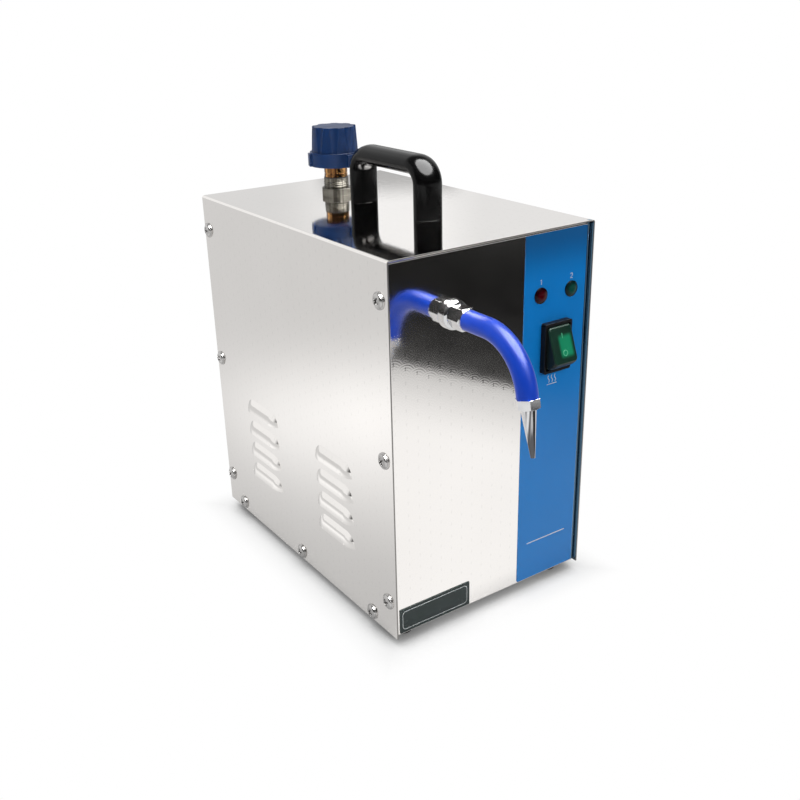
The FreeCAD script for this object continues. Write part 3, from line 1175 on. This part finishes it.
def make_socket_pins():
    """Three flat blades in the mains inlet and two round pins in the pedal socket."""
    blade = new_body("inlet_blade_form")
    flat = middle_box(sketch_on(blade, "XY"), "0", "0", "inlet_blade_gauge", "inlet_blade_width")
    pad(blade, flat, "inlet_blade_length")
    pin = turned("pedal_pin_form", [("0", "0"), ("socket_pin_radius", "0"),
                                    ("socket_pin_radius", "socket_mouth_depth - 1"),
                                    ("0", "socket_mouth_depth - 1")])
    blade_root = REAR + " + inlet_flange_height - inlet_mouth_depth"
    pin_root = REAR + " + socket_flange_height + socket_proud - socket_mouth_depth"
    group("socket_pins", [
        (blade, "service_side - inlet_blade_pitch", blade_root, "inlet_height", TO_REAR),
        (blade, "service_side + inlet_blade_pitch", blade_root, "inlet_height", TO_REAR),
        (blade, "service_side", blade_root, "inlet_height - inlet_blade_width", TO_REAR),
        (pin, "service_side - socket_pin_pitch / 2", pin_root, "socket_height", TO_REAR),
        (pin, "service_side + socket_pin_pitch / 2", pin_root, "socket_height", TO_REAR)])


def make_panel_nuts():
    """Nuts behind the panels: two lamps, the fuse holder and the pedal socket."""
    kinds = {}
    for name, flats, height, bore in (
            ("lamp_nut_form", "lamp_nut_flats", "lamp_nut_height", "lamp_barrel"),
            ("fuse_nut_form", "fuse_nut_flats", "fuse_nut_height", "fuse_radius"),
            ("socket_nut_form", "socket_nut_flats", "socket_nut_height", "socket_thread_radius")):
        kinds[name] = new_body(name)
        add_nut(kinds[name], flats, height, bore + " + sliding_clearance")
    group("lamp_nuts", [(kinds["lamp_nut_form"], "control_middle %s lamp_pitch / 2" % side,
                         PANEL_BACK, "lamp_height", TO_REAR) for side in ("-", "+")])
    group("rear_nuts", [(kinds[form], "service_side", REAR_INSIDE, height, TO_FRONT)
                        for form, height in (("fuse_nut_form", "fuse_height"),
                                             ("socket_nut_form", "socket_height"))])
    screw = screw_form("inlet_screw_form", "inlet_screw_radius", "inlet_screw_head",
                       "inlet_screw_head_height", "inlet_screw_length")
    group("inlet_screws", [(screw, "service_side %s inlet_screw_pitch / 2" % side,
                            REAR + " + inlet_flange_height", "inlet_height", TO_REAR)
                           for side in ("-", "+")])


def make_terminal_block():
    block = new_body("terminal_block", "block_side", "block_setback", "sheet_gauge")
    base = middle_box(sketch_on(block, "XY"), "0", "0", "block_width", "block_depth")
    pad(block, base, "block_height")
    cells = sketch_on(block, "XY", "block_height")
    for step in range(SIZES["block_cells"]):
        middle_box(cells, "(%d - (block_cells - 1) / 2) * (block_cell + block_rib)" % step, "0",
                   "block_cell", "block_cell")
    pocket(block, cells, "block_cell_depth")


NODES = [
    "cover", "chassis", "cover_screws", "feet", "foot_screws", "handle", "handle_screws",
    "panel_overlay", "name_plate", "ready_lamp", "heating_lamp", "lamp_nuts", "switch_housing",
    "rocker", "filler_neck", "filler_locknut", "cap_seal", "cap_insert", "relief_plug",
    "relief_spring", "cap_knob", "boiler_tank", "tank_jacket", "jacket_bands", "tank_stand",
    "stand_screws", "heater_gasket", "heater_plug", "heater_element", "thermal_cutout",
    "pressure_switch", "steam_pipe", "outlet_pipe", "valve_block", "valve_guide", "valve_coil",
    "coil_nut", "valve_plunger", "valve_spring", "bulkhead_fitting", "bulkhead_nut", "spout_nut",
    "sleeve_ferrule", "spout_pipe", "spout_sleeve", "nozzle_nut", "nozzle_tip", "drain_pipe",
    "drain_valve", "drain_nut", "drain_ball", "drain_lever", "power_inlet", "inlet_screws",
    "fuse_holder", "fuse_cap", "pedal_socket", "socket_pins", "rear_nuts", "terminal_block",
]

for make in (make_cover, make_chassis, make_fasteners, make_feet, make_handle, make_front_skins,
             make_lamps, make_switch, make_filler, make_cap, make_boiler, make_stand, make_heater,
             make_crown_fittings, make_steam_pipes, make_valve, make_spout, make_drain,
             make_inlet, make_fuse, make_pedal_socket, make_socket_pins, make_panel_nuts,
             make_terminal_block):
    make()
doc.recompute()

for item in doc.Objects:
    if "Invalid" in item.State or "Error" in item.State:
        raise ValueError("%s failed: %s" % (item.Label, item.State))
pieces = {label: doc.getObjectsByLabel(label)[0] for label in NODES}
for label, piece in pieces.items():
    if piece.Shape.isNull() or not piece.Shape.isValid() or not piece.Shape.Solids:
        raise ValueError("%s has no valid shape" % label)
os.makedirs("parts", exist_ok=True)
for label, piece in pieces.items():
    piece.Shape.exportStep("parts/%s.step" % label)
print("%d nodes written" % len(pieces))
